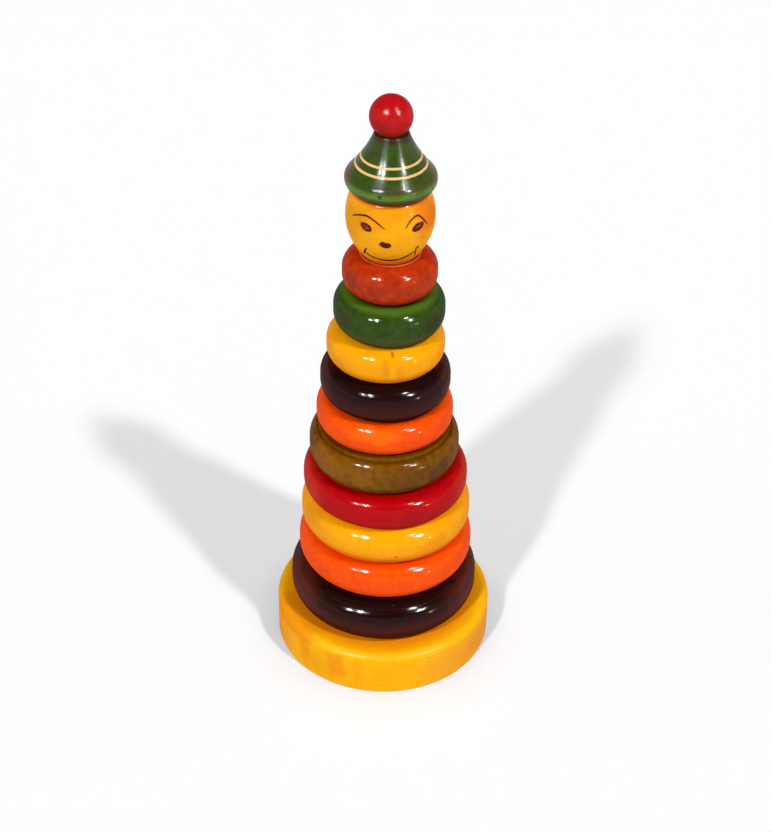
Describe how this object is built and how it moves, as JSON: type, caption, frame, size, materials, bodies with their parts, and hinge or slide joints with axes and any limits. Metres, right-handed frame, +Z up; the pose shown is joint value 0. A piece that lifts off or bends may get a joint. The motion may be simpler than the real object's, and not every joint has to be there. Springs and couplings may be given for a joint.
{
  "type": "wooden stacking ring toy",
  "caption": "Tapering stack of lacquered wooden rings on a peg in a thick round base, topped by a clown's head in a brimmed, pointed hat with a bobble.",
  "frame": {"origin": "middle of the base's underside, on the surface that the toy stands on", "axes": "+Z up along the peg; the painted face looks along -Y; +X is to the right of someone who faces the toy"},
  "size_m": [0.1, 0.1, 0.2776],
  "materials": {
    "yellow_lac": "glossy turned lacquer, worn to satin on the base",
    "bare_wood": "bare turned hardwood, oiled by handling",
    "aubergine_lac": "glossy turned lacquer",
    "orange_lac": "glossy turned lacquer",
    "crimson_lac": "glossy turned lacquer",
    "olive_lac": "glossy turned lacquer",
    "green_lac": "glossy turned lacquer",
    "brick_lac": "glossy turned lacquer",
    "head_lac": "glossy turned lacquer",
    "bobble_lac": "glossy turned lacquer",
    "cream_lac": "glossy turned lacquer",
    "face_paint": "brush-painted, satin",
    "eye_paint": "brush-painted, satin"
  },
  "bodies": {
    "stand": {"base": "yellow_lac", "peg": "bare_wood"},
    "aubergine_wide": {"ring_aubergine_wide": "aubergine_lac"},
    "orange_wide": {"ring_orange_wide": "orange_lac"},
    "yellow_wide": {"ring_yellow_wide": "yellow_lac"},
    "crimson": {"ring_crimson": "crimson_lac"},
    "olive": {"ring_olive": "olive_lac"},
    "orange_narrow": {"ring_orange_narrow": "orange_lac"},
    "aubergine_narrow": {"ring_aubergine_narrow": "aubergine_lac"},
    "yellow_narrow": {"ring_yellow_narrow": "yellow_lac"},
    "green": {"ring_green": "green_lac"},
    "brick": {"ring_brick": "brick_lac"},
    "clown": {"head": "head_lac", "hat": "green_lac", "bobble": "bobble_lac", "hat_cream_lines": "cream_lac", "face_lines": "face_paint", "eye_spots": "eye_paint"}
  },
  "joints": [
    {"name": "lift_aubergine_wide", "type": "slide", "parent": "stand", "child": "aubergine_wide", "axis": [0, 0, 1], "range_m": [0, 0.205]},
    {"name": "lift_orange_wide", "type": "slide", "parent": "aubergine_wide", "child": "orange_wide", "axis": [0, 0, 1], "range_m": [0, 0.1817]},
    {"name": "lift_yellow_wide", "type": "slide", "parent": "orange_wide", "child": "yellow_wide", "axis": [0, 0, 1], "range_m": [0, 0.1622]},
    {"name": "lift_crimson", "type": "slide", "parent": "yellow_wide", "child": "crimson", "axis": [0, 0, 1], "range_m": [0, 0.1434]},
    {"name": "lift_olive", "type": "slide", "parent": "crimson", "child": "olive", "axis": [0, 0, 1], "range_m": [0, 0.1272]},
    {"name": "lift_orange_narrow", "type": "slide", "parent": "olive", "child": "orange_narrow", "axis": [0, 0, 1], "range_m": [0, 0.1072]},
    {"name": "lift_aubergine_narrow", "type": "slide", "parent": "orange_narrow", "child": "aubergine_narrow", "axis": [0, 0, 1], "range_m": [0, 0.0916]},
    {"name": "lift_yellow_narrow", "type": "slide", "parent": "aubergine_narrow", "child": "yellow_narrow", "axis": [0, 0, 1], "range_m": [0, 0.0729]},
    {"name": "lift_green", "type": "slide", "parent": "yellow_narrow", "child": "green", "axis": [0, 0, 1], "range_m": [0, 0.0564]},
    {"name": "lift_brick", "type": "slide", "parent": "green", "child": "brick", "axis": [0, 0, 1], "range_m": [0, 0.0376]},
    {"name": "lift_clown", "type": "slide", "parent": "brick", "child": "clown", "axis": [0, 0, 1], "range_m": [0, 0.02]}
  ]
}
